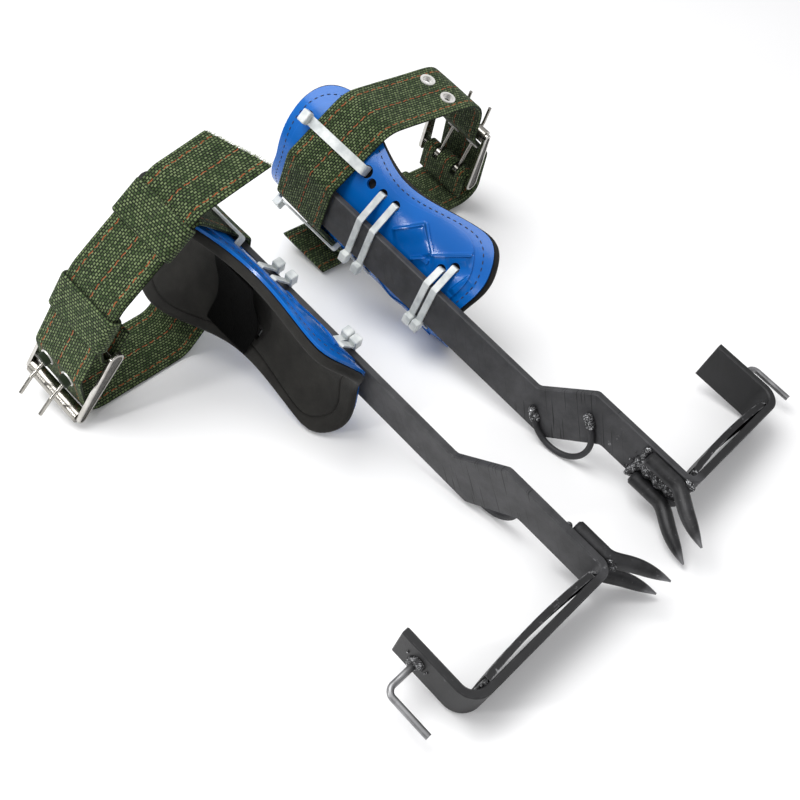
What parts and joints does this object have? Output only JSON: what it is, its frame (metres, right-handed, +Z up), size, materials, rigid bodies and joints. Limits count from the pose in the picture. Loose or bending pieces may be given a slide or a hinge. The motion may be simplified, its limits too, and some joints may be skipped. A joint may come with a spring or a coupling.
{
  "type": "tree climbing spikes",
  "caption": "Left and right tree climbing spikes: bent steel stirrups with pointed gaffs, padded shin guards tied on, and webbing calf belts with roller buckles.",
  "frame": {"origin": "centre of the bounding box's footprint, on the surface that the pair lies on", "axes": "+Z up; +X from the belts towards the foot plates and gaff points; +Y from the left spike towards the right one"},
  "size_m": [0.402, 0.3918, 0.1666],
  "materials": {
    "powder_coat": "matte black powder coat, lightly scratched",
    "gaff_steel": "dark coat, ground at the points",
    "bare_steel": "bare drawn rod",
    "weld_metal": "bright rippled weld",
    "shell_plastic": "glossy blue moulding",
    "pad_foam": "matte charcoal foam",
    "elastic": "woven elastic",
    "webbing": "coarse olive weave with rust stitching",
    "nickel": "nickel plate",
    "nylon": "translucent natural nylon"
  },
  "bodies": {
    "left_spike": {"left_shank_stirrup": "powder_coat", "left_tread_strip": "powder_coat", "left_ankle_loop": "powder_coat", "left_strap_hook": "bare_steel", "left_upper_gaff": "gaff_steel", "left_lower_gaff": "gaff_steel", "left_weld_beads": "weld_metal", "left_shin_shell": "shell_plastic", "left_shin_foam": "pad_foam", "left_elastic_band": "elastic", "left_belt": "webbing", "left_eyelets": "nickel", "left_buckle_frame": "nickel", "left_fixed_keeper": "webbing", "left_front_belt_tie": "nylon", "left_rear_belt_tie": "nylon", "left_upper_shin_ties": "nylon", "left_lower_shin_ties": "nylon"},
    "left_roller": {"left_buckle_roller": "nickel"},
    "left_low_prong_body": {"left_low_prong": "nickel"},
    "left_high_prong_body": {"left_high_prong": "nickel"},
    "left_keeper_slider": {"left_sliding_keeper": "webbing"},
    "right_spike": {"right_shank_stirrup": "powder_coat", "right_tread_strip": "powder_coat", "right_ankle_loop": "powder_coat", "right_strap_hook": "bare_steel", "right_upper_gaff": "gaff_steel", "right_lower_gaff": "gaff_steel", "right_weld_beads": "weld_metal", "right_shin_shell": "shell_plastic", "right_shin_foam": "pad_foam", "right_elastic_band": "elastic", "right_belt": "webbing", "right_eyelets": "nickel", "right_buckle_frame": "nickel", "right_fixed_keeper": "webbing", "right_front_belt_tie": "nylon", "right_rear_belt_tie": "nylon", "right_upper_shin_ties": "nylon", "right_lower_shin_ties": "nylon"},
    "right_roller": {"right_buckle_roller": "nickel"},
    "right_low_prong_body": {"right_low_prong": "nickel"},
    "right_high_prong_body": {"right_high_prong": "nickel"},
    "right_keeper_slider": {"right_sliding_keeper": "webbing"}
  },
  "joints": [
    {"name": "left_roller_spin", "type": "hinge", "parent": "left_spike", "child": "left_roller", "pos_m": [-0.16643, -0.17569, 0.01517], "axis": [-0.9617, 0, 0.274], "continuous": true},
    {"name": "left_low_prong_hinge", "type": "hinge", "parent": "left_spike", "child": "left_low_prong_body", "pos_m": [-0.1447, -0.15234, 0.05495], "axis": [-0.9617, 0, 0.274], "range_deg": [-1.2, 1.2]},
    {"name": "left_high_prong_hinge", "type": "hinge", "parent": "left_spike", "child": "left_high_prong_body", "pos_m": [-0.16393, -0.15234, 0.06043], "axis": [-0.9617, 0, 0.274], "range_deg": [-1.2, 1.2]},
    {"name": "left_keeper_slide", "type": "slide", "parent": "left_spike", "child": "left_keeper_slider", "axis": [0.1874, 0.7296, 0.6577], "range_m": [-0.034, 0]},
    {"name": "right_roller_spin", "type": "hinge", "parent": "right_spike", "child": "right_roller", "pos_m": [-0.12984, 0.17118, 0.08813], "axis": [-0.9617, 0, 0.274], "continuous": true},
    {"name": "right_low_prong_hinge", "type": "hinge", "parent": "right_spike", "child": "right_low_prong_body", "pos_m": [-0.13383, 0.17697, 0.03762], "axis": [-0.9617, 0, 0.274], "range_deg": [-1.2, 1.2]},
    {"name": "right_high_prong_hinge", "type": "hinge", "parent": "right_spike", "child": "right_high_prong_body", "pos_m": [-0.15307, 0.17697, 0.0431], "axis": [-0.9617, 0, 0.274], "range_deg": [-1.2, 1.2]},
    {"name": "right_keeper_slide", "type": "slide", "parent": "right_spike", "child": "right_keeper_slider", "axis": [0.1028, 0.9947, 0], "range_m": [-0.02, 0.015]},
    {"name": "right_spike_lift", "type": "slide", "parent": "left_spike", "child": "right_spike", "axis": [0, 0, 1], "range_m": [0, 0.35]}
  ]
}
